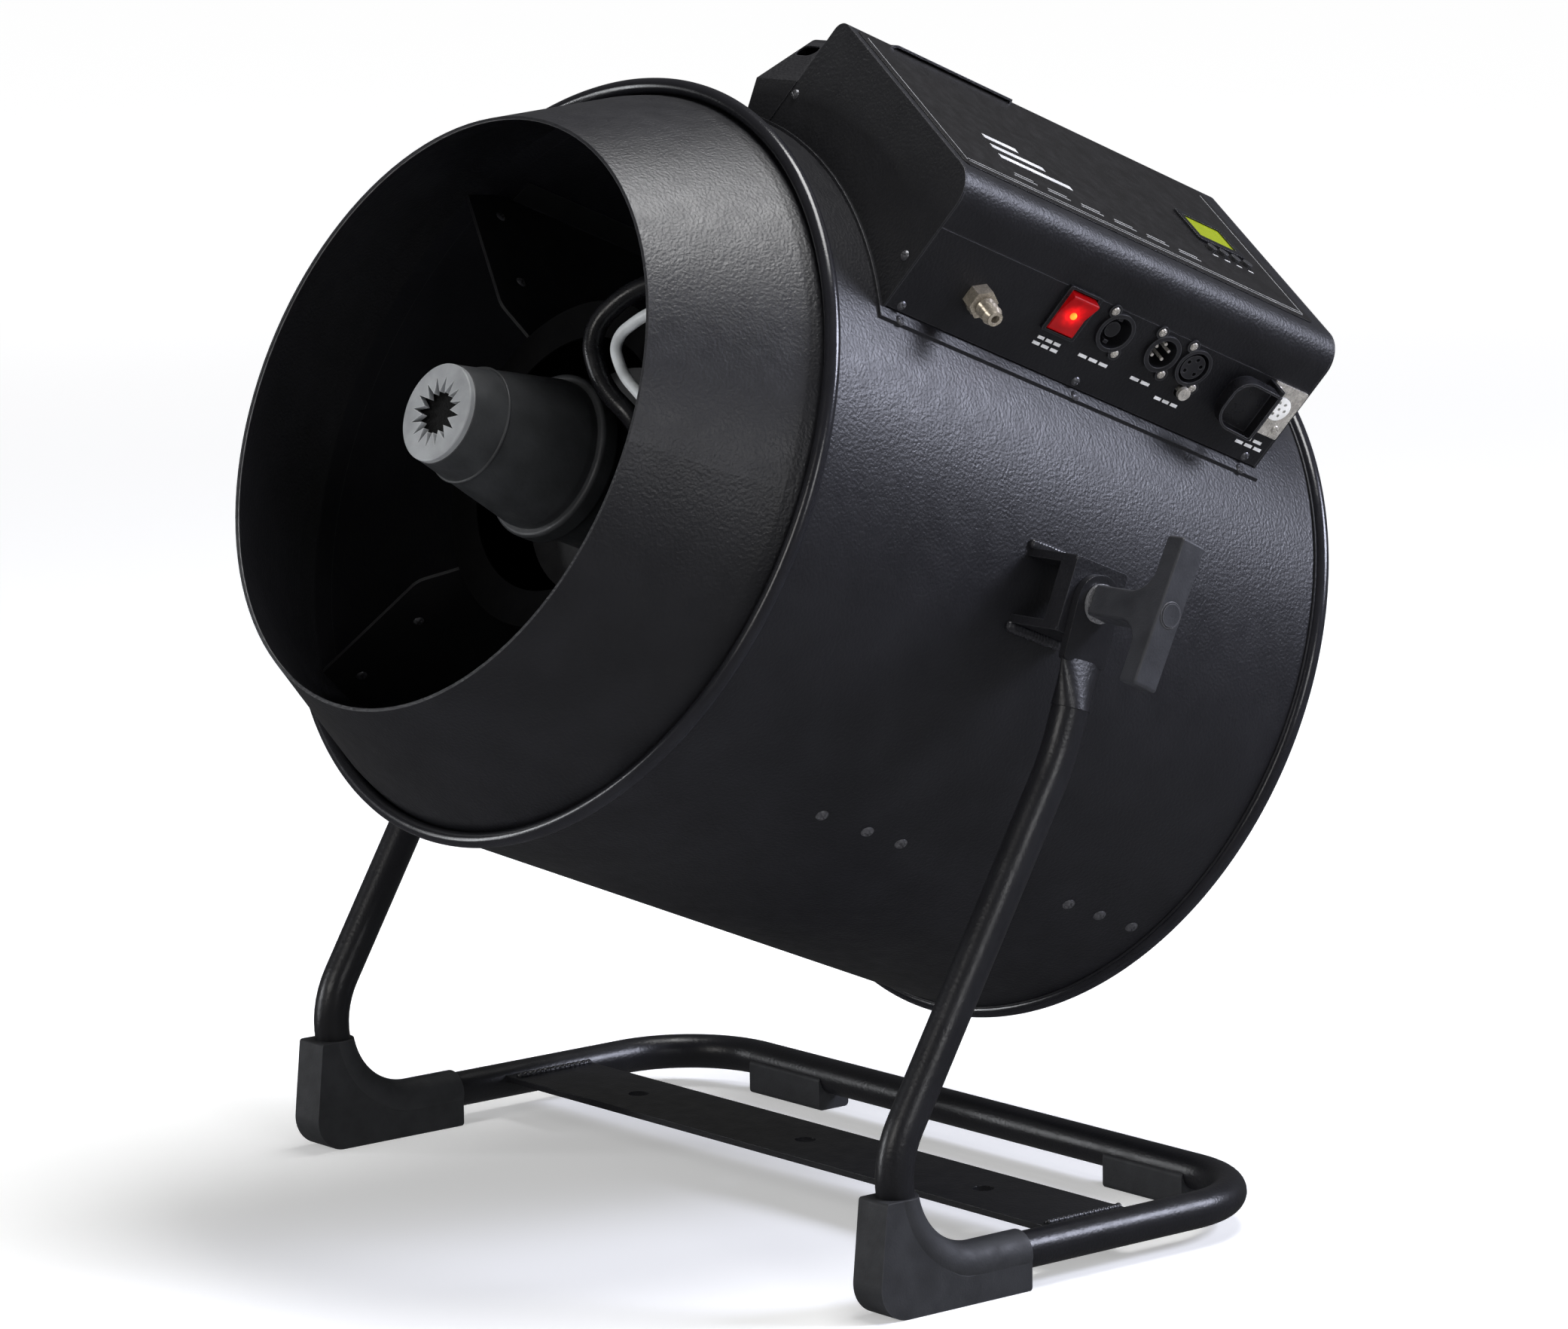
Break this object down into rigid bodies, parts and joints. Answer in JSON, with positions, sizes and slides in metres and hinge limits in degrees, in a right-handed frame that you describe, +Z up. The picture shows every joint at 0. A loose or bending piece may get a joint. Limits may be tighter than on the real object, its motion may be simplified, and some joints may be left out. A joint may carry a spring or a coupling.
{
  "type": "fan-driven snow effect machine",
  "caption": "Drum-shaped effect blower tilting in a bent-tube stand, with a conical hood, central star nozzle, side-saddle control box and T-handle clamps.",
  "frame": {"origin": "middle of the machine's footprint box, on the floor", "axes": "+X along the tilt axis towards the connector side, -Y is where the mouth points, +Z up"},
  "size_m": [0.67, 0.6312, 0.7163],
  "materials": {
    "stand_paint": "satin black powder coat",
    "boot_rubber": "matte dark grey rubber",
    "drum_paint": "textured black powder coat",
    "inner_paint": "black powder coat",
    "nozzle_face": "light grey moulded plastic",
    "nozzle_plastic": "dark grey moulded plastic",
    "mesh_fabric": "dark knitted mesh",
    "blower_plastic": "black moulded plastic",
    "hose_rubber": "smooth black rubber",
    "hose_clear": "milky plastic tube",
    "motor_metal": "dark painted cast aluminium",
    "bright_steel": "bright zinc",
    "fan_blades": "black glass-filled plastic",
    "guard_wire": "black dipped wire",
    "black_screws": "black oxide",
    "box_paint": "fine textured black powder coat",
    "label_film": "printed black film",
    "bezel_plastic": "black moulded plastic",
    "display_screen": "backlit yellow-green screen",
    "rocker_red": "lit translucent red",
    "socket_plastic": "black moulded plastic",
    "nickel": "satin nickel plate",
    "socket_white": "white insulator",
    "lid_plastic": "satin black plastic",
    "union_metal": "blackened metal",
    "supply_metal": "mill finish",
    "pump_plastic": "black plastic",
    "board": "green circuit board",
    "handle_plastic": "dark grey moulded plastic",
    "button_plastic": "dark grey rubber key"
  },
  "bodies": {
    "stand": {"stand_tube": "stand_paint", "base_bar": "stand_paint", "front_foot_right": "boot_rubber", "front_foot_left": "boot_rubber", "rear_foot_pads": "boot_rubber"},
    "drum": {"drum_shell": "drum_paint", "front_hood": "drum_paint", "pivot_bracket_right": "drum_paint", "pivot_bracket_left": "drum_paint", "support_plates": "inner_paint", "inner_duct": "inner_paint", "nozzle_ring": "nozzle_face", "nozzle_cone": "nozzle_plastic", "nozzle_base": "nozzle_plastic", "foam_mesh": "mesh_fabric", "nozzle_blower": "blower_plastic", "blower_flange": "blower_plastic", "fluid_hose": "hose_rubber", "air_hose": "hose_clear", "fan_motor": "motor_metal", "motor_plates": "inner_paint", "rear_guard": "guard_wire", "drum_screws": "black_screws", "box_base": "drum_paint", "box_cover": "box_paint", "box_front_plate": "box_paint", "box_rear_plate": "box_paint", "connector_panel": "box_paint", "hose_cover": "box_paint", "top_label": "label_film", "display_bezel": "bezel_plastic", "display_glass": "display_screen", "rocker_frame": "bezel_plastic", "power_inlet": "socket_plastic", "power_inlet_core": "socket_plastic", "data_in_socket": "socket_plastic", "data_in_pins": "nickel", "data_out_socket": "socket_plastic", "data_out_insert": "socket_plastic", "remote_plate": "nickel", "remote_socket": "socket_white", "lid_hinge": "socket_plastic", "fluid_inlet": "union_metal", "box_screws": "black_screws", "power_supply": "supply_metal", "fluid_pump": "pump_plastic", "control_board": "board"},
    "handle_right": {"t_handle_right": "handle_plastic", "handle_stud_right": "bright_steel"},
    "handle_left": {"t_handle_left": "handle_plastic", "handle_stud_left": "bright_steel"},
    "impeller": {"fan_impeller": "fan_blades", "fan_shaft": "bright_steel"},
    "rocker": {"power_rocker": "rocker_red"},
    "latch": {"data_out_latch": "nickel"},
    "lid": {"socket_lid": "lid_plastic"},
    "button_1": {"menu_button_1": "button_plastic"},
    "button_2": {"menu_button_2": "button_plastic"},
    "button_3": {"menu_button_3": "button_plastic"},
    "button_4": {"menu_button_4": "button_plastic"}
  },
  "joints": [
    {"name": "drum_tilt", "type": "hinge", "parent": "stand", "child": "drum", "pos_m": [0, 0.01867, 0.3915], "axis": [1, 0, 0], "range_deg": [-67.5, 67.5]},
    {"name": "handle_right_turn", "type": "hinge", "parent": "drum", "child": "handle_right", "pos_m": [0.3, 0.01867, 0.3915], "axis": [1, 0, 0], "continuous": true},
    {"name": "handle_left_turn", "type": "hinge", "parent": "drum", "child": "handle_left", "pos_m": [-0.3, 0.01867, 0.3915], "axis": [1, 0, 0], "continuous": true},
    {"name": "impeller_spin", "type": "hinge", "parent": "drum", "child": "impeller", "pos_m": [0, 0.10644, 0.35514], "axis": [0, 0.9239, -0.3827], "continuous": true},
    {"name": "rocker_press", "type": "hinge", "parent": "drum", "child": "rocker", "pos_m": [0.21728, 0.04954, 0.55227], "axis": [0, 0.9239, -0.3827], "range_deg": [-18, 0]},
    {"name": "latch_press", "type": "slide", "parent": "drum", "child": "latch", "axis": [-0.866, 0.1913, 0.4619], "range_m": [0, 0.0015], "stiffness_N_per_m": 400, "springref_m": -0.0005},
    {"name": "lid_swing", "type": "hinge", "parent": "drum", "child": "lid", "pos_m": [0.22661, 0.19823, 0.4811], "axis": [0.5, 0.3314, 0.8001], "range_deg": [0, 190]},
    {"name": "button_1_press", "type": "slide", "parent": "drum", "child": "button_1", "axis": [-0.5, -0.3314, -0.8001], "range_m": [0, 0.0012], "stiffness_N_per_m": 300, "springref_m": -0.0005},
    {"name": "button_2_press", "type": "slide", "parent": "drum", "child": "button_2", "axis": [-0.5, -0.3314, -0.8001], "range_m": [0, 0.0012], "stiffness_N_per_m": 300, "springref_m": -0.0005},
    {"name": "button_3_press", "type": "slide", "parent": "drum", "child": "button_3", "axis": [-0.5, -0.3314, -0.8001], "range_m": [0, 0.0012], "stiffness_N_per_m": 300, "springref_m": -0.0005},
    {"name": "button_4_press", "type": "slide", "parent": "drum", "child": "button_4", "axis": [-0.5, -0.3314, -0.8001], "range_m": [0, 0.0012], "stiffness_N_per_m": 300, "springref_m": -0.0005}
  ]
}
